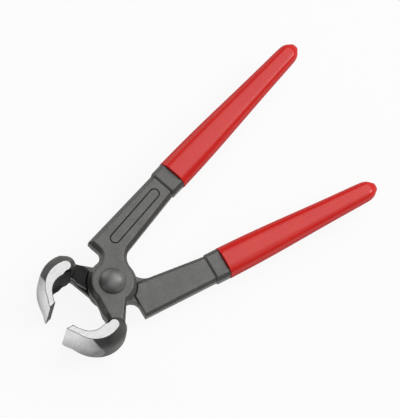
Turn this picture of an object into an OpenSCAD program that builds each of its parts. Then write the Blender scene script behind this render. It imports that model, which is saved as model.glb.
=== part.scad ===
// End cutting nippers: two equal forged halves crossed at a lap joint,
// one domed rivet through both, and a dipped grip on each handle.
// The rivet's axis is Z and its flat closing head lies on z = 0, domed head up.
// X runs from the pivot towards the handles, midway between the two halves.
// Each half is drawn closed, with its cutting edge on y = 0, and is then turned open.

/* [Pose] */
// Angle between the halves, from cutting edges touching
open_angle = 19.6; // [4:0.2:30]

/* [Jaws] */
// Width of the jaws along the rivet, over both bright side faces
jaw_w = 29.5; // [22:0.5:33]
// Distance from the rivet's axis to the cutting edges
jaw_reach = 40.5; // [38:0.5:44]
// Radius of the claw's round back at the side faces
claw_r = 17.6; // [16:0.1:19]
// Distance of that radius' centre behind the closing plane
claw_drop = 6; // [4:0.25:8]
// How far the claw's back stands out between the side faces
claw_crown = 3.6; // [1.5:0.1:4.2]
// Radius of the hollow inside the claw
hollow_r = 11; // [10:0.1:11.6]
// Thickness of the claw just behind the cutting edge
tip_t = 3.6; // [2.5:0.1:4.2]
// Distance of the hollow's centre behind the closing plane
hollow_drop = 4.6; // [4:0.1:5.6]
// Width of the ground land behind each cutting edge
land_w = 2.4; // [1.5:0.1:3]
// How far the land leans away from the closing plane
land_lean = 1.2; // [0.8:0.1:1.6]
// Radius of the round heel of a bright side face
heel_face_r = 3.2; // [2.5:0.1:4]
// Radius of the round heel of the claw between the side faces
heel_r = 6; // [5:0.1:6.5]

/* [Lap joint] */
// Radius of the eye round the rivet
eye_r = 14; // [12.5:0.1:14.5]
// Thickness of each half at the joint
plate_t = 7.5; // [6:0.1:9]
// Gap between the two halves where they lie on each other
lap_gap = 0.1; // [0.05:0.01:0.2]
// Gap round the eye to the other half's shoulder
eye_gap = 0.8; // [0.5:0.1:1.2]
// Height of the shoulder that stands round the other half's eye
ledge_h = 4; // [2:0.25:5]
// How far that shoulder stays inside the sides of the neck
ledge_set = 0.3; // [0.2:0.05:0.6]
// Angle between the halves at which that shoulder meets the other shank
stop_angle = 46; // [40:0.5:56]
// Distance from the rivet's axis to the inner side of the neck
neck_x = 17.6; // [15.5:0.1:19]
// Radius between the neck and the claw's hollow
neck_fillet_r = 6.5; // [5:0.1:7.5]

/* [Shanks] */
// Distance from the rivet's axis to the square shoulder of the shank
shoulder_x = 8.4; // [7:0.1:10]
// Radius of the notch between the shoulder and the eye
notch_r = 5; // [4:0.1:6]
// Radius between the eye and the inner side of the shank
throat_r = 9; // [7:0.1:10]
// Distance from the closing plane to the inner side of the shank at its root
shank_root_y = 5.9; // [5:0.1:7.5]
// Width of the shank at its outer end
shank_w = 16.3; // [15:0.1:18]
// How far the shank reaches past the joint face, behind the plate
shank_back = 1.5; // [1:0.1:2.5]
// Chamfer along the edges of the faces
edge_bevel = 2.2; // [1:0.1:2.5]
// Distance from the rivet's axis to the collar of the front half
front_collar_x = 63.5; // [58:0.5:72]
// Distance from the rivet's axis to the collar of the back half
back_collar_x = 55; // [50:0.5:64]
// Distance from the closing plane to the middle of the handles
handle_y = 17.3; // [16:0.1:19]

/* [Collars and grips] */
// Length of the collar between shank and grip
collar_l = 9; // [6:0.5:12]
// How far the collar stands proud of the shank
collar_step = 0.7; // [0.4:0.1:1.2]
// Distance from the rivet's axis to the end of the front handle
front_handle_l = 184; // [165:1:205]
// Distance from the rivet's axis to the end of the back handle
back_handle_l = 167; // [155:1:190]
// Width of the grip at its mouth
grip_w = 19; // [17.5:0.1:21]
// Width of the grip near its end
grip_end_w = 12.2; // [11:0.1:14]
// Thickness of the grip at its mouth
grip_t = 14.6; // [13.5:0.1:16]
// Thickness of the grip near its end
grip_end_t = 10.6; // [9.5:0.1:12]
// Thickness of the plastic beyond the end of the steel
grip_cap = 9; // [5:0.5:14]

/* [Rivet] */
// Radius of the rivet's shank
rivet_r = 4.5; // [3.5:0.1:5.5]
// Running clearance of the rivet in both halves, on the radius
rivet_play = 0.05; // [0.02:0.01:0.1]
// Radius of the domed head
head_r = 7.5; // [6.5:0.1:9]
// Height of the domed head
head_h = 6; // [4:0.1:7]
// Height of the dome's straight rim
head_rim = 1.2; // [0.4:0.1:1.8]
// Radius of the flat closing head
closing_r = 6.8; // [6:0.1:8]
// Height of the flat closing head
closing_h = 2; // [1.5:0.1:3]
// Chamfer round the closing head
closing_bevel = 0.8; // [0.4:0.1:1]

/* [Engraved frame] */
// Length of the round-ended frame on the front half
frame_l = 42; // [36:0.5:44]
// Width of the frame over its line
frame_w = 6.4; // [5:0.1:7.5]
// Width of the engraved line
frame_line = 0.7; // [0.4:0.1:1]
// Depth of the engraved line
frame_depth = 0.35; // [0.2:0.05:0.5]
// Distance from the collar to the near end of the frame
frame_set = 4.5; // [3.5:0.5:7]

/* [Hidden] */

// Overrun of every cut, taken from the size of the joint
over = lap_gap;
// Height of the joint face above the rivet's closing head
joint_z = closing_h + rivet_play + plate_t;
// Outer edge of the shanks, and the inner edge at their outer end
shank_out_y = handle_y + shank_w / 2;
shank_in_y = handle_y - shank_w / 2;
// Middle of the handles above the joint face, and the shank's thickness
handle_z = (plate_t - shank_back) / 2;
shank_t = plate_t + shank_back;
// Radius left free round the eye of the other half
clear_r = eye_r + eye_gap;

// Centres of the arcs that make up the outline of a half
claw_c = [claw_r - jaw_reach, -claw_drop];
hollow_c = [hollow_r + tip_t - jaw_reach, -hollow_drop];
pocket_y = -hollow_drop - hollow_r;
neck_fillet_c = [-neck_x - neck_fillet_r, pocket_y + neck_fillet_r];
notch_c_x = shoulder_x - notch_r;
notch_c = [notch_c_x, sqrt(pow(eye_r + notch_r, 2) - pow(notch_c_x, 2))];
throat_c_y = shank_root_y - throat_r;
throat_c = [sqrt(pow(eye_r + throat_r, 2) - pow(throat_c_y, 2)), throat_c_y];
// The heel of the claw, at its side faces and between them, rides on the claw's arc
claw_end_a = 280;
heel_turn_a = 180;
heel_start_a = -70;
heel_shift_share = 0.2;
heel_face_c = claw_c + (claw_r - heel_face_r) * dir(claw_end_a);
heel_c = claw_c + (claw_r + claw_crown - heel_r) * dir(claw_end_a) + heel_r * heel_shift_share * [1, 1];
// Ends of the arc of the hollow, at the heel and at the land
hollow_start_a = 275;
hollow_end_a = 165;
// Where the outer side of the neck leaves the eye and where it meets the heel
neck_low_a = 30;
neck_out_a = 85;
eye_low_a = 360 + bearing(heel_c) + neck_low_a;
heel_out_a = bearing(heel_c) + neck_out_a;
// How far into the claw the neck runs, and how far into the eye the shoulder's ends
heel_in_share = 0.8;
neck_mid_share = 0.3;
ledge_in_share = 0.9;
// Where the notch crosses the edge of the space round the eye, and the shoulder's end,
// which comes round to that place at the widest opening
notch_far_r = eye_r + notch_r;
notch_cos = (pow(clear_r, 2) + pow(notch_far_r, 2) - pow(notch_r, 2)) / (2 * clear_r * notch_far_r);
ledge_end_a = 360 - bearing(notch_c) + acos(notch_cos) - stop_angle;
// Top of what lies behind the joint face, inside the plate
seat_share = 0.33;
seat_z = plate_t * seat_share;
// Draft of the die on the shank's back, and how deep the collar starts in the shank
draft_share = 0.2;
draft = shank_back * draft_share;
collar_sunk_share = 3;
collar_sunk = collar_step * collar_sunk_share;

// Ends of the grip and of the steel inside it, as shares of the grip's length
tang_root_share = 0.62;
tang_end_share = 0.52;
grip_shares = [0, 0.02, 0.12, 0.3, 0.5, 0.7, 0.86, 0.94, 0.98, 1];
// Width of the grip at those places, between its end width and its mouth width
grip_w_shares = [0.97, 1, 0.99, 0.85, 0.58, 0.3, 0.08, -0.06, -0.3, -0.75];

// How square the grip's section is, from an ellipse at 1 to a rectangle at 0
grip_square_share = 0.8;

// Layers of the claw from one side face to the other, as shares of half its width
claw_layer_shares = [-1, -0.93, -0.84, -0.7, -0.5, -0.2, 0.2, 0.5, 0.7, 0.84, 0.93, 1];

// Direction of an angle
function dir(a) = [cos(a), sin(a)];

// Points on an arc, both ends included
function arc(c, r, a0, a1, n) = [for (i = [0:n]) c + r * dir(a0 + (a1 - a0) * i / n)];

// Angle of a point seen from the origin
function bearing(p) = atan2(p[1], p[0]);

// A value between a and b
function mix(a, b, k) = a + (b - a) * k;

// Steps in the arcs, and in a whole turn of the eye
eye_steps = 72;
round_n = 96;
grip_n = 32;
dome_n = 10;
fine_n = 14;
mid_n = 9;
small_n = 7;

// Outline of the flat plate of a half: shank, shoulder, eye and neck, set in by b
function plate_outline(end_x, b) = concat(
    [[end_x, shank_in_y + b], [end_x, shank_out_y - b], [shoulder_x + b, shank_out_y - b]],
    arc(notch_c, notch_r + b, 0, bearing(-notch_c), mid_n),
    arc([0, 0], eye_r - b, bearing(notch_c) + 360 / eye_steps, 180, mid_n),
    neck_side(b),
    arc([0, 0], eye_r - b, eye_low_a, 360 + bearing(throat_c), mid_n),
    arc(throat_c, throat_r + b, bearing(-throat_c) - 360 / eye_steps, 90, mid_n));
// The part of that outline that runs down the neck, into the claw and up again
function neck_side(b) = concat(
    arc(neck_fillet_c, neck_fillet_r + b, 0, -90, small_n),
    [mix(neck_fillet_c, heel_c, neck_mid_share) - [0, neck_fillet_r + b]],
    [heel_c + (heel_r * heel_in_share - b) * dir(heel_out_a)]);

// The neck alone, from inside the eye, for the shoulder round the other eye
function neck_outline(b) = concat(
    [[ledge_in_share * (b - eye_r), 0]], neck_side(b), [ledge_in_share * (eye_r - b) * dir(ledge_end_a)]);

// How much of the crown there is at share s of the way round the claw's back
function crown_ramp(s) = s * s * (3 - 2 * s);

// One layer of the claw: edge, round back, heel, hollow and land.
// k is 0 at a side face and 1 in the middle of the jaw.
function claw_ring(k) = let (
    c = mix(heel_face_c, heel_c, k),
    r = mix(heel_face_r, heel_r, k))
    concat(
        [[-jaw_reach, 0]],
        [for (i = [0:fine_n]) let (s = i / fine_n)
            claw_c + (claw_r + claw_crown * k * crown_ramp(s)) * dir(mix(180, claw_end_a, s))],
        arc(c, r, heel_start_a + heel_turn_a / fine_n, heel_start_a + heel_turn_a, mid_n),
        arc(hollow_c, hollow_r, hollow_start_a, hollow_end_a, fine_n),
        [[land_w - jaw_reach, -land_lean]]);

// Area vector of a ring, which points along the ring's axis
function facing(ring) = [for (i = [2:len(ring) - 1]) 1]
    * [for (i = [2:len(ring) - 1]) cross(ring[i - 1] - ring[0], ring[i] - ring[0])];

// Positive where c lies to the left of the line from a to b, seen against the axis
function left_of(a, b, c, axis) = cross(b - a, c - a) * axis;

// Whether corner i of an outline can be cut off without crossing the outline
function is_ear(pts, ids, i, axis) = let (
    n = len(ids),
    a = pts[ids[(i + n - 1) % n]],
    b = pts[ids[i]],
    c = pts[ids[(i + 1) % n]])
    left_of(a, b, c, axis) > 0 && len([for (k = [2:n - 2]) let (p = pts[ids[(i + k) % n]])
        if (min(left_of(a, b, p, axis), left_of(b, c, p, axis), left_of(c, a, p, axis)) >= 0) k]) == 0;

// Triangles that fill an outline with hollows in it, cut off corner by corner
function fill(pts, ids, axis) = len(ids) == 3 ? [ids] : let (
    n = len(ids),
    e = [for (i = [0:n - 1]) if (is_ear(pts, ids, i, axis)) i][0])
    concat([[ids[(e + n - 1) % n], ids[e], ids[(e + 1) % n]]],
        fill(pts, [for (i = [0:n - 1]) if (i != e) ids[i]], axis));

// A solid skinned over rings of equally many points, with its two ends filled
module skin(rings) {
    n = len(rings[0]);
    last = len(rings) - 1;
    ids = [for (i = [0:n - 1]) i];
    polyhedron(
        points = [for (r = rings) each r],
        faces = concat(
            fill(rings[0], ids, facing(rings[0])),
            [for (t = fill(rings[last], ids, facing(rings[last]))) [for (i = [2:-1:0]) last * n + t[i]]],
            [for (j = [0:last - 1], i = [0:n - 1]) let (q = (i + 1) % n)
                [j * n + i, (j + 1) * n + i, (j + 1) * n + q]],
            [for (j = [0:last - 1], i = [0:n - 1]) let (q = (i + 1) % n)
                [j * n + i, (j + 1) * n + q, j * n + q]]));
}

// A flat ring lifted to height z, and an upright ring at distance x
function lift(ring, z) = [for (p = ring) [p[0], p[1], z]];
function stand(ring, x) = [for (p = ring) [x, p[0], p[1]]];

// Chamfered oblong about a middle, seen from the handle's end
function oblong(cy, cz, w, t, b) = [
    [cy + w / 2, cz - t / 2 + b], [cy + w / 2, cz + t / 2 - b],
    [cy + w / 2 - b, cz + t / 2], [cy - w / 2 + b, cz + t / 2],
    [cy - w / 2, cz + t / 2 - b], [cy - w / 2, cz - t / 2 + b],
    [cy - w / 2 + b, cz - t / 2], [cy + w / 2 - b, cz - t / 2]];

// Rounded oblong about a middle, between an ellipse and a rectangle
function round_oblong(cy, cz, w, t) = [for (i = [0:grip_n - 1]) let (a = 360 * i / grip_n)
    [cy + w / 2 * soft(cos(a)), cz + t / 2 * soft(sin(a))]];
function soft(v) = sign(v) * pow(abs(v), grip_square_share);

// Plate of a half with its front edges chamfered
module plate(end_x) {
    skin([
        lift(plate_outline(end_x, 0), lap_gap / 2),
        lift(plate_outline(end_x, 0), plate_t - edge_bevel),
        lift(plate_outline(end_x, edge_bevel), plate_t)]);
}

// The part of the shank behind the joint face, narrowed by the draft of the die
module shank_back_rib(end_x) {
    root_slope = (shank_in_y - shank_root_y) / (end_x - throat_c[0]);
    function inner(x) = shank_root_y + (x - throat_c[0]) * root_slope;
    function section(x) = [
        [shank_out_y - draft - shank_back, -shank_back], [shank_out_y - draft, 0],
        [shank_out_y - draft, seat_z], [inner(x) + draft, seat_z],
        [inner(x) + draft, 0], [inner(x) + draft + shank_back, -shank_back]];
    skin([for (x = [shoulder_x + draft, end_x]) stand(section(x), x)]);
}

// Space for the eye of the other half
module eye_space(depth) {
    translate([0, 0, lap_gap - depth]) cylinder(r = clear_r, h = depth, $fn = round_n);
}

// Claw with the bright side faces at its two ends
module claw() {
    skin([for (s = claw_layer_shares) lift(claw_ring(1 - pow(abs(s), 4)), s * jaw_w / 2)]);
}

// Raised collar that the grip butts against
module collar(end_x) {
    w = shank_w + 2 * collar_step;
    t = shank_t + 2 * collar_step;
    b = edge_bevel;
    skin([
        stand(oblong(handle_y, handle_z, w - collar_sunk, t - collar_sunk, b), end_x),
        stand(oblong(handle_y, handle_z, w, t, b), end_x + collar_step),
        stand(oblong(handle_y, handle_z, w, t, b), end_x + collar_l)]);
}

// Steel inside the grip, tapering to its end
module tang(root_x, end_x) {
    root_w = grip_w * tang_root_share;
    root_t = grip_t * tang_end_share;
    end_w = grip_end_w * tang_end_share;
    end_t = grip_end_t * tang_end_share;
    skin([
        stand(oblong(handle_y, handle_z, root_w, root_t, collar_step), root_x),
        stand(oblong(handle_y, handle_z, end_w, end_t, collar_step), end_x)]);
}

// One forged half in its closed place, with its joint face on z = 0
module half(collar_x, reach) {
    difference() {
        union() {
            plate(collar_x + collar_step);
            difference() {
                union() {
                    shank_back_rib(collar_x + collar_step);
                    translate([0, 0, -ledge_h])
                        linear_extrude(ledge_h + seat_z) polygon(neck_outline(ledge_set));
                }
                eye_space(ledge_h + 2 * over);
            }
            claw();
            collar(collar_x);
            tang(collar_x + collar_l - over, reach - grip_cap);
        }
        translate([0, 0, -ledge_h])
            cylinder(r = rivet_r + rivet_play, h = plate_t + 2 * ledge_h, $fn = round_n);
    }
}

// Round-ended line cut into the front face
module engraved_frame() {
    mid_x = front_collar_x - frame_set - frame_l / 2;
    lean = atan((shank_in_y - shank_root_y) / (front_collar_x - throat_c[0]) / 2);
    mid_y = (shank_out_y + shank_in_y - (front_collar_x - mid_x) * tan(lean) * 2) / 2;
    translate([mid_x, mid_y, plate_t - frame_depth]) rotate([0, 0, lean])
        linear_extrude(frame_depth + over) difference() {
            round_bar(frame_l, frame_w);
            round_bar(frame_l - 2 * frame_line, frame_w - 2 * frame_line);
        }
}

// Flat bar with round ends
module round_bar(l, w) {
    square([l - w, w], center = true);
    for (s = [-1, 1]) translate([s * (l - w) / 2, 0]) circle(d = w, $fn = 48);
}

// Dipped grip over the steel, closed at its end
module grip(root_x, reach) {
    l = reach - root_x;
    difference() {
        skin([for (i = [0:len(grip_shares) - 1]) let (k = grip_w_shares[i])
            stand(round_oblong(handle_y, handle_z, mix(grip_end_w, grip_w, k), mix(grip_end_t, grip_t, k)),
                root_x + l * grip_shares[i])]);
        tang(root_x - over, reach - grip_cap);
    }
}

// Places a half or its grip as the front one, or turned over as the back one
module as_front() {
    translate([0, 0, joint_z]) rotate([0, 0, open_angle / 2]) children();
}
module as_back() {
    translate([0, 0, joint_z]) rotate([180, 0, open_angle / -2]) children();
}

module front_half() {
    color("dimgray") as_front() difference() {
        half(front_collar_x, front_handle_l);
        engraved_frame();
    }
}

module back_half() {
    color("dimgray") as_back() half(back_collar_x, back_handle_l);
}

module front_grip() {
    color("red") as_front() grip(front_collar_x + collar_l, front_handle_l);
}

module back_grip() {
    color("red") as_back() grip(back_collar_x + collar_l, back_handle_l);
}

// Rivet with a domed head in front and a flat closing head behind
module rivet() {
    top = joint_z + plate_t;
    cap_r = (pow(head_r, 2) + pow(head_h - head_rim, 2)) / (2 * (head_h - head_rim));
    cap_a = asin(head_r / cap_r);
    color("gray") rotate_extrude($fn = round_n) polygon(concat(
        [[0, 0], [closing_r - closing_bevel, 0], [closing_r, closing_bevel], [closing_r, closing_h],
            [rivet_r, closing_h], [rivet_r, top], [head_r, top]],
        [for (i = [0:dome_n]) let (a = cap_a * (1 - i / dome_n))
            [cap_r * sin(a), top + head_h - cap_r + cap_r * cos(a)]]));
}

front_half();
back_half();
rivet();
front_grip();
back_grip();
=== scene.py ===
import math

import bpy
from mathutils import Matrix, Vector


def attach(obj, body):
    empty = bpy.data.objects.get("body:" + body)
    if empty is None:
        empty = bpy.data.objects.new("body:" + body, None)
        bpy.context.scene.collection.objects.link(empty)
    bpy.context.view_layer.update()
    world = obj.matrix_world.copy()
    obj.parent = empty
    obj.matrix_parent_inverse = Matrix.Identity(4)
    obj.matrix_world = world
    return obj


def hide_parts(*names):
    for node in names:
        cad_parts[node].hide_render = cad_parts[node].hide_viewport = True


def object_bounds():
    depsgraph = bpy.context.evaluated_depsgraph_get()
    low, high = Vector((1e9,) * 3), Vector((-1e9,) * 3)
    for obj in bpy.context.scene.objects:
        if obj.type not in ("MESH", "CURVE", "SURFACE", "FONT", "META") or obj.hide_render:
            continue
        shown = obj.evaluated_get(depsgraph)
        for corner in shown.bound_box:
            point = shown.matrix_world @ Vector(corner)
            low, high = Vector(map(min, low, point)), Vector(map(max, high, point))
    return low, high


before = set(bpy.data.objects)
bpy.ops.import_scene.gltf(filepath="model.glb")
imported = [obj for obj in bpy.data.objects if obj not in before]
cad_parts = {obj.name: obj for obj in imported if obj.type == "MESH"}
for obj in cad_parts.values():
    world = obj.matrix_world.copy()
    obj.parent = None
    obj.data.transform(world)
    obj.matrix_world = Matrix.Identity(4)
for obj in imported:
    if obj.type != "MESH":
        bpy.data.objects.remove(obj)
cadBox = [list(corner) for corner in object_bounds()]
mm = 0.001
cutThreshold = 0.0000005   # metres; a coarser one leaves points beside the cutting plane
mergeReach = 0.00001       # metres
squareOn = 0.9             # a face looks along an axis where its normal has more than this of it

tool = {
    "openAngle": 19.6,     # degrees between the halves at rest
    "jointHeight": 9.55,   # millimetres, joint face above the rivet's closing head
    "plateThickness": 7.5,
    "shankWidth": 16.3,    # at the collar
    "collarLength": 9,
    "handleY": 17.3,       # middle of a handle from the closing plane
    "handleZ": 3.0,        # and above the joint face
}


# helpers
def deselectAll():
    if bpy.context.object and bpy.context.object.mode != "OBJECT":
        bpy.ops.object.mode_set(mode="OBJECT")
    bpy.ops.object.select_all(action="DESELECT")


def pick(obj):
    deselectAll()
    obj.select_set(True)
    bpy.context.view_layer.objects.active = obj


def startEdit(obj, kind="FACE"):
    pick(obj)
    bpy.ops.object.mode_set(mode="EDIT")
    bpy.ops.mesh.select_mode(type=kind)


def endEdit():
    bpy.ops.object.mode_set(mode="OBJECT")


def clearSelection(obj, kind="FACE"):
    startEdit(obj, kind)
    bpy.ops.mesh.select_all(action="DESELECT")
    endEdit()


def selectFaces(obj, test):
    # leaves obj in edit mode with the faces that pass the test selected
    clearSelection(obj)
    for face in obj.data.polygons:
        face.select = test(face.center, face.normal)
    bpy.ops.object.mode_set(mode="EDIT")


def pull(step):
    # draws out what is selected
    bpy.ops.mesh.extrude_region_move(TRANSFORM_OT_translate={"value": step})


def paintFaces(obj, slot, test):
    for face in obj.data.polygons:
        if test(face.center, face.normal):
            face.material_index = slot


def cutAcross(obj, point, normal, clearOuter=False, fill=False):
    startEdit(obj)
    bpy.ops.mesh.select_all(action="SELECT")
    bpy.ops.mesh.bisect(plane_co=point, plane_no=normal, threshold=cutThreshold,
                        use_fill=fill, clear_outer=clearOuter)
    endEdit()


def applyModifier(obj, kind, **settings):
    pick(obj)
    modifier = obj.modifiers.new(kind.lower(), kind)
    for key, value in settings.items():
        setattr(modifier, key, value)
    bpy.ops.object.modifier_apply(modifier=modifier.name)


def applyPlace(obj):
    pick(obj)
    bpy.ops.object.transform_apply(location=True, rotation=True, scale=True)


def combine(target, other, operation):
    applyModifier(target, "BOOLEAN", operation=operation, object=other, solver="EXACT")
    pick(other)
    bpy.ops.object.delete()


def toClosed(obj, side):
    # from the open tool to a half lying closed, with its joint face on z = 0
    turn = math.radians(tool["openAngle"] / 2)
    obj.location = (0, 0, -tool["jointHeight"] * mm)
    applyPlace(obj)
    obj.rotation_euler = (0, 0, -turn if side == "front" else turn)
    applyPlace(obj)
    if side == "back":
        obj.rotation_euler = (math.pi, 0, 0)
        applyPlace(obj)


def toOpen(obj, side):
    # and back again
    turn = math.radians(tool["openAngle"] / 2)
    if side == "back":
        obj.rotation_euler = (math.pi, 0, 0)
        applyPlace(obj)
    obj.rotation_euler = (0, 0, turn if side == "front" else -turn)
    applyPlace(obj)
    obj.location = (0, 0, tool["jointHeight"] * mm)
    applyPlace(obj)


def smoothShade(obj, degrees):
    # edges sharper than that many degrees stay crisp
    pick(obj)
    bpy.ops.object.shade_smooth_by_angle(angle=math.radians(degrees))


# camera
camera = {
    "turn": 38.4,          # degrees the tool is turned in the picture
    "tilt": 22.0,          # degrees the view leans off the joint's axis
    "lean": 68.0,          # direction of that lean in the picture
    "pixelsPerMetre": 1790.0,
    "distance": 1.5,
    "rivetPixel": (112.8, 280.5),
    "rivetHeight": 17.8,   # millimetres up the joint's axis
    "pictureSize": (400, 418),
    "sensorWidth": 36,
    "clipEnd": 20,
}


def placeCamera():
    turn, tilt, lean = (math.radians(camera[k]) for k in ("turn", "tilt", "lean"))
    leanX, leanY = math.cos(lean), math.sin(lean)
    flat = ((math.cos(turn), -math.sin(turn)), (math.sin(turn), math.cos(turn)))
    along = [flat[0][k] * leanX + flat[1][k] * leanY for k in (0, 1)]
    squeeze = 1 - math.cos(tilt)
    rise = math.sin(tilt)
    right = Vector([flat[0][k] - squeeze * along[k] * leanX for k in (0, 1)] + [rise * leanX])
    up = Vector([flat[1][k] - squeeze * along[k] * leanY for k in (0, 1)] + [rise * leanY])
    back = right.cross(up)
    width, height = camera["pictureSize"]
    rivetX, rivetY = camera["rivetPixel"]
    density = camera["pixelsPerMetre"]
    target = Vector((0, 0, camera["rivetHeight"] * mm))
    target += right * (width / 2 - rivetX) / density + up * (rivetY - height / 2) / density
    bpy.ops.object.camera_add(location=target + back * camera["distance"])
    cam = bpy.context.object
    cam.rotation_euler = Matrix((right, up, back)).transposed().to_euler()
    cam.data.sensor_width = camera["sensorWidth"]
    cam.data.lens = density * camera["distance"] * camera["sensorWidth"] / height
    cam.data.clip_end = camera["clipEnd"]
    bpy.context.scene.camera = cam


deselectAll()
placeCamera()
print("camera placed")


# nodes for the materials
def node(tree, kind, **settings):
    made = tree.nodes.new(kind)
    for key, value in settings.items():
        setattr(made, key, value)
    return made


def newMaterial(name, metallic, roughness):
    material = bpy.data.materials.new(name)
    material.use_nodes = True
    shader = material.node_tree.nodes["Principled BSDF"]
    shader.inputs["Metallic"].default_value = metallic
    shader.inputs["Roughness"].default_value = roughness
    return material, material.node_tree, shader


def maths(tree, operation, *values):
    made = node(tree, "ShaderNodeMath", operation=operation)
    for socket, value in zip(made.inputs, values):
        if isinstance(value, (int, float)):
            socket.default_value = value
        else:
            tree.links.new(value, socket)
    return made.outputs[0]


def mapRange(tree, value, source, result=(0, 1), interpolation="LINEAR"):
    made = node(tree, "ShaderNodeMapRange", interpolation_type=interpolation)
    tree.links.new(value, made.inputs["Value"])
    for socket, limit in zip(("From Min", "From Max", "To Min", "To Max"), (*source, *result)):
        made.inputs[socket].default_value = limit
    return made.outputs[0]


def mixColours(tree, share, first, second):
    made = node(tree, "ShaderNodeMix", data_type="RGBA")
    tree.links.new(share, made.inputs["Factor"])
    tree.links.new(first, made.inputs["A"])
    tree.links.new(second, made.inputs["B"])
    return made.outputs["Result"]


def noise(tree, place, scale, detail, stretch=None):
    texture = node(tree, "ShaderNodeTexNoise")
    texture.inputs["Scale"].default_value = scale
    texture.inputs["Detail"].default_value = detail
    if stretch:
        mapping = node(tree, "ShaderNodeMapping")
        mapping.inputs["Scale"].default_value = stretch
        tree.links.new(place, mapping.inputs["Vector"])
        place = mapping.outputs[0]
    tree.links.new(place, texture.inputs["Vector"])
    return texture.outputs["Fac"]


def ramp(tree, value, stops):
    # two stops, each a position and a level or a colour
    made = node(tree, "ShaderNodeValToRGB")
    tree.links.new(value, made.inputs["Fac"])
    for element, (position, level) in zip(made.color_ramp.elements, stops):
        colour = level if isinstance(level, tuple) else (level, level, level)
        element.position = position
        element.color = (*colour, 1)
    return made.outputs["Color"]


noiseStops = (0.3, 0.7)    # a noise turns from its dark to its light between these


def twoTone(tree, value, dark, light):
    return ramp(tree, value, tuple(zip(noiseStops, (dark, light))))


def bump(tree, shader, height, strength, distance):
    made = node(tree, "ShaderNodeBump")
    made.inputs["Strength"].default_value = strength
    made.inputs["Distance"].default_value = distance
    tree.links.new(height, made.inputs["Height"])
    tree.links.new(made.outputs[0], shader.inputs["Normal"])


# studio
studio = {
    "floorSize": 6.0,
    "floorMiddle": (0.06, 0),
    "floorGap": 0.0002,    # metres below the tool's lowest point
    "floorColour": (0.74, 0.74, 0.74, 1),
    "floorRoughness": 0.9,
    "floorGlow": 0.90,     # share of plain white that the camera sees on the floor
    "floorShine": 0.72,    # and that shows in the steel
    "low": 0.06,           # brightness of the surroundings near the horizon, which darkens the bevels
    "high": 1.08,          # and overhead
    "lowEnds": 0.28,       # height, as the sine of the elevation, where the dark band ends
    "highStarts": 0.84,    # and where full brightness starts
    "brightSide": (0.35, -0.93, -0.07),   # direction of the bright side
    "fadeFrom": -0.55,     # place along that direction where the dark side ends
    "fadeTo": -0.16,       # and where the bright side starts
    "darkShare": 0.18,     # brightness that is left on the dark side
    "lampAim": (0.05, 0, 0),
    "lamps": {             # place, width in metres and watts
        "keyLamp": ((0.75, 0.12, 0.95), 1.5, 5.2),
        "stripLamp": ((-0.15, 1.2, 0.16), 1.5, 6.5),
        "sideLamp": ((1.0, -0.45, 0.72), 0.5, 3.2),
    },
}


def addLamp(name, place, size, watts):
    bpy.ops.object.light_add(type="AREA", location=place)
    lamp = bpy.context.object
    lamp.name = name
    lamp.data.shape = "DISK"
    lamp.data.size = size
    lamp.data.energy = watts
    aim = Vector(studio["lampAim"]) - Vector(place)
    lamp.rotation_euler = aim.to_track_quat("-Z", "Y").to_euler()


def floorPaint():
    # pale, and near white to the camera, with the tool's shadow left on it
    paint, tree, shader = newMaterial("floorPaint", 0, studio["floorRoughness"])
    shader.inputs["Base Color"].default_value = studio["floorColour"]
    path = node(tree, "ShaderNodeLightPath")
    seen = maths(tree, "MULTIPLY", path.outputs["Is Camera Ray"], studio["floorGlow"])
    share = maths(tree, "MULTIPLY_ADD", path.outputs["Is Glossy Ray"], studio["floorShine"], seen)
    glow = node(tree, "ShaderNodeEmission")
    mix = node(tree, "ShaderNodeMixShader")
    tree.links.new(share, mix.inputs["Fac"])
    tree.links.new(shader.outputs[0], mix.inputs[1])
    tree.links.new(glow.outputs[0], mix.inputs[2])
    tree.links.new(mix.outputs[0], tree.nodes["Material Output"].inputs["Surface"])
    return paint


def skyLight():
    # a soft box overhead that fades towards the horizon and to one side
    world = bpy.data.worlds.new("studioWorld")
    world.use_nodes = True
    tree = world.node_tree
    place = node(tree, "ShaderNodeTexCoord").outputs["Generated"]
    split = node(tree, "ShaderNodeSeparateXYZ")
    tree.links.new(place, split.inputs[0])
    height = mapRange(tree, split.outputs["Z"], (studio["lowEnds"], studio["highStarts"]),
                      (studio["low"], studio["high"]), "SMOOTHSTEP")
    side = node(tree, "ShaderNodeVectorMath", operation="DOT_PRODUCT")
    side.inputs[1].default_value = studio["brightSide"]
    tree.links.new(place, side.inputs[0])
    fading = mapRange(tree, side.outputs["Value"], (studio["fadeFrom"], studio["fadeTo"]),
                      (studio["darkShare"], 1))
    background = tree.nodes["Background"]
    background.inputs["Color"].default_value = (1, 1, 1, 1)
    tree.links.new(maths(tree, "MULTIPLY", height, fading), background.inputs["Strength"])
    bpy.context.scene.world = world


def buildStudio():
    floorPlace = (*studio["floorMiddle"], cadBox[0][2] - studio["floorGap"])
    bpy.ops.mesh.primitive_plane_add(size=studio["floorSize"], location=floorPlace)
    floor = bpy.context.object
    floor.name = "floor"
    floor.data.materials.append(floorPaint())
    skyLight()
    for name, settings in studio["lamps"].items():
        addLamp(name, *settings)


buildStudio()
bpy.context.scene.view_settings.view_transform = "Standard"
print("studio built")


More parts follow.
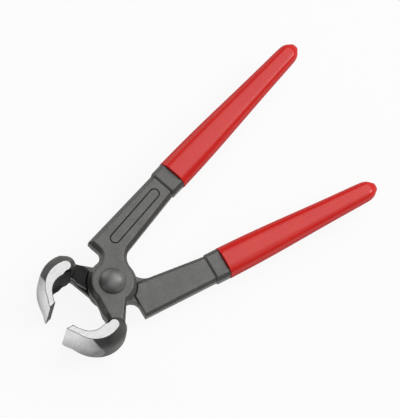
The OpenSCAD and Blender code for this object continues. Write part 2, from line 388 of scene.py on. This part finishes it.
# steel finishes
steel = {
    "forged": {"dark": (0.108, 0.107, 0.103), "light": (0.130, 0.129, 0.125),
               "metallic": 0.7, "roughness": 0.44, "gloss": 0.5},
    # scale: near-black painted shade, for the hollows of the jaws and the slopes under the neck
    "scale": {"dark": (0.004, 0.004, 0.004), "light": (0.012, 0.012, 0.011),
              "metallic": 0.2, "roughness": 0.6, "gloss": 0.15},
    # edge: dark painted shade, for the crease at the collar, the engraved groove, the lands and the rims of
    # the ground faces
    "edge": {"dark": (0.012, 0.012, 0.012), "light": (0.025, 0.025, 0.024),
             "metallic": 0.3, "roughness": 0.5, "gloss": 0.2},
    "claw": {"dark": (0.062, 0.062, 0.061), "light": (0.090, 0.090, 0.088)},
    "grain": (1500, 4),    # scale and detail of the fine grain
    "grainBump": (0.35, 0.00012),   # strength, and depth in metres
    "mottle": (130, 5),    # scale and detail of the mottling
    "smoother": 0.08,      # how far the grain takes the roughness down
    "rougher": 0.1,        # and up
}


def mottled(tree, value, finish):
    return twoTone(tree, value, steel[finish]["dark"], steel[finish]["light"])


def forgedSteel(name, finish, withNeckShade=False):
    roughness = finish["roughness"]
    material, tree, shader = newMaterial(name, finish["metallic"], roughness)
    shader.inputs["Specular IOR Level"].default_value = finish["gloss"]
    place = node(tree, "ShaderNodeTexCoord").outputs["Object"]
    grain = noise(tree, place, *steel["grain"])
    mottle = noise(tree, place, *steel["mottle"])
    colour = twoTone(tree, mottle, finish["dark"], finish["light"])
    if withNeckShade:
        # painted shade: the near-black hollow colours are mixed in where the painted shade attribute is set
        black = node(tree, "ShaderNodeAttribute", attribute_name="paintedNeckShade")
        colour = mixColours(tree, black.outputs["Fac"], colour, mottled(tree, mottle, "scale"))
    tree.links.new(colour, shader.inputs["Base Color"])
    dull = twoTone(tree, grain, roughness - steel["smoother"], roughness + steel["rougher"])
    tree.links.new(dull, shader.inputs["Roughness"])
    bump(tree, shader, grain, *steel["grainBump"])
    return material


polish = {
    "dark": (0.62, 0.62, 0.62),
    "light": (0.71, 0.71, 0.71),
    "darkUpTo": 0.25,      # share of the noise that is dark
    "lightFrom": 0.6,
    "metallic": 0.6,
    "roughness": 0.5,
    "lines": (900, 2, (0.25, 1, 1)),   # scale, detail and stretch of the grinding lines
    "lineBump": (0.08, 0.00005),
}


def polishedFace():
    material, tree, shader = newMaterial("polishedFace", polish["metallic"], polish["roughness"])
    place = node(tree, "ShaderNodeTexCoord").outputs["Object"]
    lines = noise(tree, place, *polish["lines"])
    stops = ((polish["darkUpTo"], polish["dark"]), (polish["lightFrom"], polish["light"]))
    tree.links.new(ramp(tree, lines, stops), shader.inputs["Base Color"])
    bump(tree, shader, lines, *polish["lineBump"])
    return material


# ground jaws
ground = {
    "jawReach": 40.5,
    "jawWidth": 29.5,
    "clawRadius": 17.6,
    "clawDrop": 6.0,
    "hollowMiddle": (-25.9, -4.6),
    "landPoint": (-38.1, -1.2),   # inner corner of the land, where its cutting plane passes
    "landLean": 19.24,     # degrees that plane leans from the closing plane; the solid's land has 26.57
    "borderAtFace": 54.0,  # degrees round the claw's back where the grinding ends, at the side faces
    "borderBulge": 27.0,   # further round in the middle of the jaw
    "borderCrispness": 14,
    "wobble": 0.04,        # radians that the border wanders
    "wobbleNoise": (160, 2),
    "heelStarts": 86.0,    # degrees round the claw where it starts to look like the neck
    "heelEnds": 108.0,
    # painted shade on the ground steel runs from this light colour to this dark one
    "light": (0.82, 0.82, 0.82),
    "dark": (0.11, 0.11, 0.11),
    "darkAt": 0.9,
    "darkening": 1.3,      # painted shade: radians round the back over which the ground steel is painted from light to dark
    "shade": 0.4,          # painted shade: how much darker the ground steel is painted towards the tool's back
    "brush": (700, 3, (1, 1, 0.08)),   # scale, detail and stretch of the brushing
    "brushShade": 0.3,
    "brushBump": (0.12, 0.00006),
    "metallic": 0.85,
    "roughBright": 0.3,
    "roughForged": 0.52,
}


def clawMiddle():
    # centre of the claw's round back, with the half closed
    return Vector(((ground["clawRadius"] - ground["jawReach"]) * mm, -ground["clawDrop"] * mm, 0))


def clawBack(name, side):
    # ground bright from the cutting edge back to a curved border, forged beyond it; the ground part carries
    # painted shade that darkens it round the claw and towards the tool's back
    material, tree, shader = newMaterial(name, ground["metallic"], ground["roughBright"])
    place = node(tree, "ShaderNodeTexCoord").outputs["Object"]
    split = node(tree, "ShaderNodeSeparateXYZ")
    tree.links.new(place, split.inputs[0])

    # angle round the claw, 0 where its round back starts and growing towards the heel
    turn = math.radians(tool["openAngle"] / 2)
    centre = Matrix.Rotation(turn, 2) @ clawMiddle().to_2d()
    flip = 1 if side == "front" else -1
    inward = maths(tree, "SUBTRACT", centre.x, split.outputs["X"])
    downward = maths(tree, "SUBTRACT", centre.y, maths(tree, "MULTIPLY", split.outputs["Y"], flip))
    angle = maths(tree, "ADD", maths(tree, "ARCTAN2", downward, inward), turn)

    # from -1 to 1 across the jaw, and the angle where the grinding ends there
    height = maths(tree, "SUBTRACT", split.outputs["Z"], tool["jointHeight"] * mm)
    across = maths(tree, "DIVIDE", height, ground["jawWidth"] / 2 * mm)
    squared = maths(tree, "MULTIPLY", across, across)
    bulge = maths(tree, "MULTIPLY", squared, -math.radians(ground["borderBulge"]))
    border = maths(tree, "ADD", bulge, math.radians(ground["borderAtFace"] + ground["borderBulge"]))
    wandering = maths(tree, "SUBTRACT", noise(tree, place, *ground["wobbleNoise"]), 0.5)
    wobbled = maths(tree, "ADD", angle, maths(tree, "MULTIPLY", wandering, ground["wobble"]))
    past = maths(tree, "MULTIPLY", maths(tree, "SUBTRACT", wobbled, border), ground["borderCrispness"])
    mask = ramp(tree, maths(tree, "ADD", past, 0.5), ((0.0, 0.0), (1.0, 1.0)))

    brushed = noise(tree, place, *ground["brush"])
    streaks = maths(tree, "MULTIPLY", maths(tree, "SUBTRACT", brushed, 0.5), ground["brushShade"])
    # painted shade: darker as the back turns round the claw and towards the tool's back, with the
    # brushing's streaks
    level = maths(tree, "ADD", maths(tree, "DIVIDE", angle, ground["darkening"]), streaks)
    level = maths(tree, "ADD", level, maths(tree, "MULTIPLY", across, -ground["shade"]))
    bright = ramp(tree, level, ((0.0, ground["light"]), (ground["darkAt"], ground["dark"])))
    mottle = noise(tree, place, *steel["mottle"])
    heelSpan = [math.radians(ground[k]) for k in ("heelStarts", "heelEnds")]
    heel = mapRange(tree, angle, heelSpan, interpolation="SMOOTHSTEP")
    black = mixColours(tree, heel, mottled(tree, mottle, "claw"), mottled(tree, mottle, "forged"))
    tree.links.new(mixColours(tree, mask, bright, black), shader.inputs["Base Color"])
    dull = ramp(tree, mask, ((0.0, ground["roughBright"]), (1.0, ground["roughForged"])))
    tree.links.new(dull, shader.inputs["Roughness"])
    bump(tree, shader, brushed, *ground["brushBump"])
    return material


# forged steel, with painted shade under the neck mixed in
forged = forgedSteel("forgedSteel", steel["forged"], withNeckShade=True)
# the near-black finish is painted shade for the hollows; the dark edge finish is painted shade for the
# collar's crease, the engraved groove, the lands and the rims of the ground faces
scale = forgedSteel("paintedHollowShade", steel["scale"])
paintedEdgeShade = forgedSteel("paintedEdgeShade", steel["edge"])
faceSteel = polishedFace()
print("steel materials made")


# forged halves, each shaped while it lies closed; sizes in millimetres
halves = {
    "front": {"node": "front_half", "grip": "front_grip", "collar": 63.5, "end": 184.0},
    "back": {"node": "back_half", "grip": "back_grip", "collar": 55.0, "end": 167.0},
}

forging = {
    "voxel": 0.32,         # fineness of the skin
    "softening": 2,        # passes that round its edges
    "kept": 0.42,          # share of the skin's faces that stay
    "smoothing": 0.5,      # strength of a smoothing pass
    "tangKept": 4.0,       # steel left inside the grip
    "overlong": 1.2,       # how far the jaws reach past what is ground off, before that
    "crownShare": 0.90,    # size of a jaw's section at its side faces
    "crownReach": 8.0,
    "crownX": -22.9,       # place of the line they are drawn in to
    "crownFrom": 8.5,      # depth below the closing plane where that starts
    "crownLayer": 0.4,     # how much of the jaw's side is taken hold of for it
    "shadeAngle": 35,
}

grinding = {
    "faceCut": 0.03,       # ground off each side of the jaws
    "landCut": 0.05,       # ground off at the closing plane
    "landFacing": 0.93,    # how squarely the solid's land faces the closing plane
    "landX": -28.0,        # the land lies beyond this
    "landDepth": 4.0,      # and less than this below the closing plane
    "landSpan": 6.0,       # depth down to which the skin is cut for it
    "sideFacing": 0.99,    # how squarely the solid's side faces look to the side
    "sideLayer": 0.05,
    "cutFacing": 0.98,     # and the ground ones
    "cutLayer": 0.01,
    "outlineStep": 0.16,   # shortest edge in the outline of a ground side
    "outlineEvened": 20,   # passes that even it out
    "outlineX": -30.0,     # points beyond this
    "outlineKept": 0.4,    # and this near the land stay where they are
    "lineWidth": 0.3,      # painted shade line round the ground side faces
}

details = {
    "eyeDrop": 1.3,        # how far the worn inner side of the eye and neck slopes down
    "eyeDropReach": 3.4,
    "eyeHeights": (4.6, 5.7),
    "eyeTurns": (78, 232),   # degrees round the rivet
    "eyeRadius": 19,
    "creaseSet": 0.4,      # from the crease to the collar
    "creaseWidth": 0.26,
    "creaseDepth": 0.14,
    "creaseMargin": 0.01,  # left out at both its ends when it is sunk
    "neckShadeAlong": (-25, -23.5, -9, -7),   # painted shade under the neck fades in and out again between these places
    "neckShadeHeights": (-9.5, -8, 4, 5),     # and these heights
    "neckShadeSlope": (0.1, 0.45),            # and fades in on faces that look down this far
}

engraving = {
    "length": 42.0,
    "width": 6.4,
    "line": 0.8,
    "depth": 0.45,
    "fromCollar": 4.5,
    "shankRootY": 5.9,     # inner side of the shank at its root
    "throatX": 22.79,      # and how far from the rivet that is
    "endRounding": 0.499,  # share of the width
    "endSteps": 12,
    "plugMargin": 1,       # how much longer and wider than the frame its plug is
    "plugDepth": 1.5,
    "plugSunk": 0.01,      # from the plug to the face
    "overrun": 1,          # how far the cutting pieces reach past it
}


def fade(value, low, high):
    share = min(max((value - low) / (high - low), 0), 1)
    return share * share * (3 - 2 * share)


def fadeInAndOut(value, inLow, inHigh, outLow, outHigh):
    return fade(value, inLow, inHigh) * (1 - fade(value, outLow, outHigh))


def frameBar(length, width, low, high):
    # flat bar with round ends, drawn as a plane with its corners rounded
    bpy.ops.mesh.primitive_plane_add(size=1, location=(0, 0, low * mm))
    bar = bpy.context.object
    bar.scale = (length * mm, width * mm, 1)
    applyPlace(bar)
    startEdit(bar, "VERT")
    bpy.ops.mesh.select_all(action="SELECT")
    bpy.ops.mesh.bevel(offset=width * mm * engraving["endRounding"], segments=engraving["endSteps"],
                       affect="VERTICES")
    bpy.ops.mesh.select_mode(type="FACE")
    bpy.ops.mesh.select_all(action="SELECT")
    pull((0, 0, (high - low) * mm))
    bpy.ops.mesh.select_all(action="SELECT")
    bpy.ops.mesh.normals_make_consistent(inside=False)
    endEdit()

    # laid along the middle of the front half's shank
    collar = halves["front"]["collar"]
    halfWidth = tool["shankWidth"] / 2
    slope = (tool["handleY"] - halfWidth - engraving["shankRootY"]) / (collar - engraving["throatX"])
    middleX = collar - engraving["fromCollar"] - engraving["length"] / 2
    innerY = tool["handleY"] - halfWidth - (collar - middleX) * slope
    bar.location = (middleX * mm, (innerY + tool["handleY"] + halfWidth) / 2 * mm, 0)
    bar.rotation_euler = (0, 0, math.atan(slope) / 2)
    applyPlace(bar)
    return bar


def copyNode(name, newName):
    pick(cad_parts[name])
    bpy.ops.object.duplicate()
    made = bpy.context.object
    made.name = newName
    made.parent = None
    made.rotation_mode = "XYZ"
    for key in list(made.keys()):
        del made[key]
    made.data.materials.clear()
    startEdit(made)
    bpy.ops.mesh.select_all(action="SELECT")
    bpy.ops.mesh.remove_doubles(threshold=mergeReach)
    bpy.ops.mesh.normals_make_consistent(inside=False)
    endEdit()
    return made


def closeFrame(body):
    # the engraved line is filled here and cut again, crisp, after the skin is softened
    top = tool["plateThickness"]
    length, width = (engraving[k] + engraving["plugMargin"] for k in ("length", "width"))
    plug = frameBar(length, width, top - engraving["plugDepth"], top - engraving["plugSunk"])
    combine(body, plug, "UNION")


def cutFrame(body):
    top, over = tool["plateThickness"], engraving["overrun"]
    length, width, line = (engraving[k] for k in ("length", "width", "line"))
    bar = frameBar(length, width, top - engraving["depth"], top + over)
    core = frameBar(length - 2 * line, width - 2 * line, top - over, top + 2 * over)
    # the engraved groove takes the dark painted edge shade
    for piece in (bar, core):
        piece.data.materials.append(paintedEdgeShade)
    combine(bar, core, "DIFFERENCE")
    combine(body, bar, "DIFFERENCE")


def landNormal():
    # the way that the plane of a land faces, with the half closed
    lean = math.radians(ground["landLean"])
    return Vector((math.sin(lean), math.cos(lean), 0))


def lengthenJaw(body):
    # steel past the lands and the side faces, so that the softened skin can be ground flat there
    landX = grinding["landX"] * mm
    deepest = -grinding["landDepth"] * mm
    selectFaces(body, lambda c, n: n.y > grinding["landFacing"] and c.y > deepest and c.x < landX)
    pull(landNormal() * forging["overlong"] * mm)
    endEdit()
    outermost = (ground["jawWidth"] / 2 - grinding["sideLayer"]) * mm
    for way in (1, -1):
        selectFaces(body, lambda c, n: n.z * way > grinding["sideFacing"] and c.z * way > outermost)
        pull((0, 0, way * forging["overlong"] * mm))
        endEdit()


def drawInJaw(body):
    # the jaws draw in towards their side faces, about a line in the closing plane
    outermost = (ground["jawWidth"] / 2 + forging["overlong"] - forging["crownLayer"]) * mm
    share = forging["crownShare"]
    for way in (1, -1):
        selectFaces(body, lambda c, n: c.z * way > outermost and c.y < -forging["crownFrom"] * mm)
        bpy.ops.transform.resize(value=(share, share, 1),
                                 center_override=(forging["crownX"] * mm, 0, way * outermost),
                                 use_proportional_edit=True, proportional_edit_falloff="SMOOTH",
                                 proportional_size=forging["crownReach"] * mm)
        endEdit()


def grindJaw(body, edge):
    # side faces of the jaws and the lands are ground flat after forging
    landX, landY = ground["landPoint"]
    normal = landNormal()
    place = Vector((landX * mm, landY * mm, 0)) - normal * grinding["landCut"] * mm
    selectFaces(body, lambda c, n: c.x < grinding["landX"] * mm and c.y > -grinding["landSpan"] * mm)
    bpy.ops.mesh.bisect(plane_co=place, plane_no=normal, threshold=cutThreshold,
                        use_fill=True, clear_outer=True)
    endEdit()
    outermost = (edge - grinding["cutLayer"]) * mm
    for way in (1, -1):
        cutAcross(body, (0, 0, way * edge * mm), (0, 0, way), clearOuter=True, fill=True)
        selectFaces(body, lambda c, n: n.z * way > grinding["cutFacing"] and c.z * way > outermost)
        bpy.ops.mesh.region_to_loop()
        bpy.ops.mesh.remove_doubles(threshold=grinding["outlineStep"] * mm)
        bpy.ops.mesh.select_mode(type="VERT")
        endEdit()
        for point in body.data.vertices:
            byTheLand = (point.co - place).dot(normal) > -grinding["outlineKept"] * mm
            if byTheLand and point.co.x < grinding["outlineX"] * mm:
                point.select = False
        bpy.ops.object.mode_set(mode="EDIT")
        bpy.ops.mesh.vertices_smooth(factor=forging["smoothing"], repeat=grinding["outlineEvened"],
                                     zaxis=False)
        endEdit()


def slopeEye(body):
    # broad slope on the inner side of the eye and neck
    lowest, highest = details["eyeHeights"]
    first, last = details["eyeTurns"]
    clearSelection(body, "VERT")
    for point in body.data.vertices:
        x, y, z = (v / mm for v in point.co)
        around = math.degrees(math.atan2(y, x)) % 360
        level = lowest < z < highest
        point.select = level and first < around < last and math.hypot(x, y) < details["eyeRadius"]
    bpy.ops.object.mode_set(mode="EDIT")
    bpy.ops.transform.translate(value=(0, 0, -details["eyeDrop"] * mm), use_proportional_edit=True,
                                proportional_edit_falloff="SMOOTH",
                                proportional_size=details["eyeDropReach"] * mm)
    endEdit()


def creaseCollar(body, collar):
    # sinks a narrow ring round the shank, where the collar starts, and returns its two ends
    start = collar - details["creaseSet"]
    end = start + details["creaseWidth"]
    for x in (start, end):
        cutAcross(body, (x * mm, 0, 0), (1, 0, 0))
    low = (start + details["creaseMargin"]) * mm
    high = (end - details["creaseMargin"]) * mm
    selectFaces(body, lambda c, n: low < c.x < high and abs(n.x) < squareOn)
    bpy.ops.transform.shrink_fatten(value=-details["creaseDepth"] * mm)
    endEdit()
    return low, high


borders = {
    "backX": -16.5,        # millimetres; straight border of the claw's back towards the neck
    "backFacing": 0.35,    # how much a face of the back looks away from the claw's middle
    "backRadius": 15.5,
    "backY": 0.5,
    "hollowX": -19,        # straight border of the hollow
    "hollowFacing": -0.2,
    "hollowRadius": 16.5,
    "hollowY": -1.0,
    "landX": -34.0,
    "landFacing": 0.8,
    "flat": 0.999,         # how squarely a ground side face looks to the side
    "flatDepth": 0.004,
}


def paintHalf(body, side, edge, crease):
    finishes = {"forged": forged, "back": clawBack(side + "ClawBack", side), "face": faceSteel,
                "hollow": scale, "edge": paintedEdgeShade}
    slots = {name: k for k, name in enumerate(finishes)}
    for material in finishes.values():
        body.data.materials.append(material)
    hollowX, hollowY = ground["hollowMiddle"]
    hollow = Vector((hollowX * mm, hollowY * mm, 0))
    centre = clawMiddle()

    def outward(c, n, middle):
        away = Vector((c.x - middle.x, c.y - middle.y, 0))
        return away.normalized().dot(n), away.length

    def onJaw(c, n, lastX, lastY):
        return c.x < lastX * mm and c.y < lastY * mm and abs(n.z) < squareOn

    def isBack(c, n):
        facing, radius = outward(c, n, centre)
        outside = facing > borders["backFacing"] and radius > borders["backRadius"] * mm
        return outside and onJaw(c, n, borders["backX"], borders["backY"])

    def isHollow(c, n):
        facing, radius = outward(c, n, hollow)
        inside = facing < borders["hollowFacing"] and radius < borders["hollowRadius"] * mm
        return inside and onJaw(c, n, borders["hollowX"], borders["hollowY"])

    def isLand(c, n):
        return n.y > borders["landFacing"] and c.x < borders["landX"] * mm

    def isFace(c, n):
        return abs(n.z) > borders["flat"] and abs(c.z) > (edge - borders["flatDepth"]) * mm

    for x in (borders["backX"], borders["hollowX"]):
        cutAcross(body, (x * mm, 0, 0), (1, 0, 0))
    # painted shade: a dark line in the crease where the collar starts
    paintFaces(body, slots["edge"], lambda c, n: crease[0] < c.x < crease[1])
    paintFaces(body, slots["back"], isBack)
    # painted shade: the hollows of the jaws are painted near-black
    paintFaces(body, slots["hollow"], isHollow)
    # painted reflection: the lands are painted dark, as they reflect darkness
    paintFaces(body, slots["edge"], isLand)
    paintFaces(body, slots["face"], isFace)
    # painted shade: a dark line round the ground side faces
    selectFaces(body, isFace)
    bpy.ops.mesh.inset(thickness=grinding["lineWidth"] * mm)
    endEdit()
    for face in body.data.polygons:
        if isFace(face.center, face.normal) and not face.select:
            face.material_index = slots["edge"]


def paintNeckShade(body):
    # painted shade: near-black on the slopes under the neck that look down, where shade falls
    black = body.data.attributes.new("paintedNeckShade", "FLOAT", "POINT")
    for point in body.data.vertices:
        along = fadeInAndOut(point.co.x / mm, *details["neckShadeAlong"])
        height = fadeInAndOut(point.co.z / mm, *details["neckShadeHeights"])
        black.data[point.index].value = along * height * fade(-point.normal.z, *details["neckShadeSlope"])


def forgeHalf(side):
    half = halves[side]
    body = copyNode(half["node"], side + "HalfForged")
    toClosed(body, side)
    tangEnd = half["collar"] + tool["collarLength"] + forging["tangKept"]
    cutAcross(body, (tangEnd * mm, 0, 0), (1, 0, 0), clearOuter=True, fill=True)
    if side == "front":
        closeFrame(body)
    lengthenJaw(body)
    applyModifier(body, "REMESH", mode="VOXEL", voxel_size=forging["voxel"] * mm)
    drawInJaw(body)
    applyModifier(body, "SMOOTH", factor=forging["smoothing"], iterations=forging["softening"])
    applyModifier(body, "DECIMATE", ratio=forging["kept"])
    edge = ground["jawWidth"] / 2 - grinding["faceCut"]
    grindJaw(body, edge)
    slopeEye(body)
    crease = creaseCollar(body, half["collar"])
    paintHalf(body, side, edge, crease)
    if side == "front":
        cutFrame(body)
    smoothShade(body, forging["shadeAngle"])
    paintNeckShade(body)
    toOpen(body, side)
    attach(body, side)
    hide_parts(half["node"])
    print(side, "half forged:", len(body.data.polygons), "faces")


forgeHalf("front")
forgeHalf("back")


# rivet
rivet = {
    "headRadius": 7.5,
    "headRim": 1.2,
    "headHeight": 6.0,
    "shankRadius": 4.5,
    "closingRadius": 6.8,
    "closingHeight": 2.0,
    "closingBevel": 0.8,
    "roundSteps": 72,
    "domeSteps": 12,
    "shadeAngle": 40,
    "finish": {"dark": (0.19, 0.19, 0.187), "light": (0.22, 0.22, 0.217),
               "metallic": 0.7, "roughness": 0.48, "gloss": 0.5},
}


def makeRivet():
    top = tool["jointHeight"] + tool["plateThickness"]
    bpy.ops.mesh.primitive_cylinder_add(vertices=rivet["roundSteps"], radius=rivet["headRadius"] * mm,
                                        depth=rivet["headRim"] * mm,
                                        location=(0, 0, (top + rivet["headRim"] / 2) * mm))
    head = bpy.context.object
    head.name = "rivetHead"
    applyPlace(head)

    # dome, drawn up in rings
    height = rivet["headHeight"] - rivet["headRim"]
    ball = (rivet["headRadius"] ** 2 + height ** 2) / (2 * height)
    reach = math.asin(rivet["headRadius"] / ball)
    selectFaces(head, lambda c, n: n.z > squareOn)
    lastRadius, lastHeight = rivet["headRadius"], 0.0
    for step in range(1, rivet["domeSteps"]):
        angle = reach * (1 - step / rivet["domeSteps"])
        radius = ball * math.sin(angle)
        rise = height - ball + ball * math.cos(angle)
        pull((0, 0, (rise - lastHeight) * mm))
        bpy.ops.transform.resize(value=(radius / lastRadius, radius / lastRadius, 1))
        lastRadius, lastHeight = radius, rise
    bpy.ops.mesh.poke(offset=(height - lastHeight) * mm)
    endEdit()

    # straight shank and the flat closing head, drawn out of the underside
    bevel = rivet["closingBevel"]
    steps = ((rivet["shankRadius"], 0),
             (rivet["shankRadius"], top - rivet["closingHeight"]),
             (rivet["closingRadius"], 0),
             (rivet["closingRadius"], rivet["closingHeight"] - bevel),
             (rivet["closingRadius"] - bevel, bevel))
    selectFaces(head, lambda c, n: n.z < -squareOn)
    lastRadius = rivet["headRadius"]
    for radius, drop in steps:
        pull((0, 0, -drop * mm))
        bpy.ops.transform.resize(value=(radius / lastRadius, radius / lastRadius, 1))
        lastRadius = radius
    endEdit()
    head.data.materials.append(forgedSteel("rivetSteel", rivet["finish"]))
    smoothShade(head, rivet["shadeAngle"])
    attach(head, "front")
    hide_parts("rivet")


makeRivet()
print("rivet made")


# grips
grips = {
    "mouthWidth": 19.0,
    "endWidth": 12.2,
    "mouthThickness": 14.6,
    "endThickness": 10.6,
    "stations": (0.0, 0.008, 0.02, 0.14, 0.32, 0.54, 0.78, 1.0),   # along the grip, down to its rounded end
    "widths": (0.99, 1.03, 0.99, 0.97, 0.82, 0.52, 0.2, 0.0),      # there, 0 as the end and 1 as the mouth
    "cap": 8.0,            # length of the rounded end
    "capTurns": (18, 33, 46, 57),   # degrees round it
    "nose": (4.6, 0.2),    # width of its blunt tip, and how far that stands proud
    "noseFlatness": 0.9,
    "roundShare": 0.38,    # of the width, rounded at each side
    "sideRounding": 0.49,  # share of the thickness
    "roundSteps": 8,
    "mouthSlice": 0.2,     # thickness of the slice that the grip is drawn from
    "tipInset": 0.6,
    "mouthInset": 0.5,
    "smoothness": 2,
    "shadeAngle": 60,
    "base": (0.64, 0.018, 0.013),
    "deep": (0.60, 0.013, 0.010),
    "roughness": 0.25,
    "gloss": ((0.35, 0.45), (0.62, 0.03)),   # slant of the surface and its specular level, at two stops
    "cloud": (60, 3),      # scale and detail of the colour's unevenness
    "peel": (420, 2),
    "peelBump": (0.06, 0.0002),
}


def gripPlastic():
    material, tree, shader = newMaterial("dippedRed", 0.0, grips["roughness"])
    place = node(tree, "ShaderNodeTexCoord").outputs["Object"]
    cloud = noise(tree, place, *grips["cloud"])
    tree.links.new(twoTone(tree, cloud, grips["deep"], grips["base"]), shader.inputs["Base Color"])
    facing = node(tree, "ShaderNodeLayerWeight").outputs["Facing"]
    tree.links.new(ramp(tree, facing, grips["gloss"]), shader.inputs["Specular IOR Level"])
    bump(tree, shader, noise(tree, place, *grips["peel"]), *grips["peelBump"])
    return material


dipped = gripPlastic()


def gripSections(length):
    # distance from the mouth, width and thickness, down to the blunt tip
    noseWidth, noseLength = grips["nose"]
    body = length - grips["cap"] - noseLength
    for share, k in zip(grips["stations"], grips["widths"]):
        width = grips["endWidth"] + (grips["mouthWidth"] - grips["endWidth"]) * k
        thickness = grips["endThickness"] + (grips["mouthThickness"] - grips["endThickness"]) * k
        yield body * share, width, thickness
    for turn in grips["capTurns"]:
        shrink = math.cos(math.radians(turn))
        along = body + grips["cap"] * math.sin(math.radians(turn))
        yield along, grips["endWidth"] * shrink, grips["endThickness"] * shrink
    yield length, noseWidth, noseWidth * grips["noseFlatness"]


def makeGrip(side):
    half = halves[side]
    start = half["collar"] + tool["collarLength"]
    sections = list(gripSections(half["end"] - start))
    lastX = grips["mouthSlice"]
    lastW, lastT = sections[0][1:]
    flatT = 2 * grips["roundShare"] * lastW
    middle = ((start + lastX / 2) * mm, tool["handleY"] * mm, tool["handleZ"] * mm)
    bpy.ops.mesh.primitive_cube_add(size=1, location=middle)
    grip = bpy.context.object
    grip.name = side + "GripDipped"
    grip.scale = (lastX * mm, lastW * mm, flatT * mm)
    applyPlace(grip)

    # its long edges are rounded, and it is then drawn out section by section
    clearSelection(grip, "EDGE")
    for line in grip.data.edges:
        a, b = (grip.data.vertices[i].co for i in line.vertices)
        line.select = abs(a.x - b.x) > lastX / 2 * mm
    bpy.ops.object.mode_set(mode="EDIT")
    bpy.ops.mesh.bevel(offset=flatT * grips["sideRounding"] * mm, segments=grips["roundSteps"],
                       affect="EDGES")
    bpy.ops.mesh.select_all(action="SELECT")
    bpy.ops.transform.resize(value=(1, 1, lastT / flatT))
    endEdit()
    selectFaces(grip, lambda c, n: n.x > squareOn)
    for x, w, t in sections[1:]:
        pull(((x - lastX) * mm, 0, 0))
        bpy.ops.transform.resize(value=(1, w / lastW, t / lastT))
        lastX, lastW, lastT = x, w, t
    bpy.ops.mesh.inset(thickness=grips["tipInset"] * mm)
    endEdit()
    # the mouth keeps a crisp edge
    selectFaces(grip, lambda c, n: n.x < -squareOn)
    bpy.ops.mesh.inset(thickness=grips["mouthInset"] * mm)
    endEdit()
    applyModifier(grip, "SUBSURF", levels=grips["smoothness"], render_levels=grips["smoothness"])
    grip.data.materials.append(dipped)
    smoothShade(grip, grips["shadeAngle"])
    toOpen(grip, side)
    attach(grip, side)
    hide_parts(half["grip"])
    print(side, "grip dipped:", len(grip.data.polygons), "faces")


makeGrip("front")
makeGrip("back")
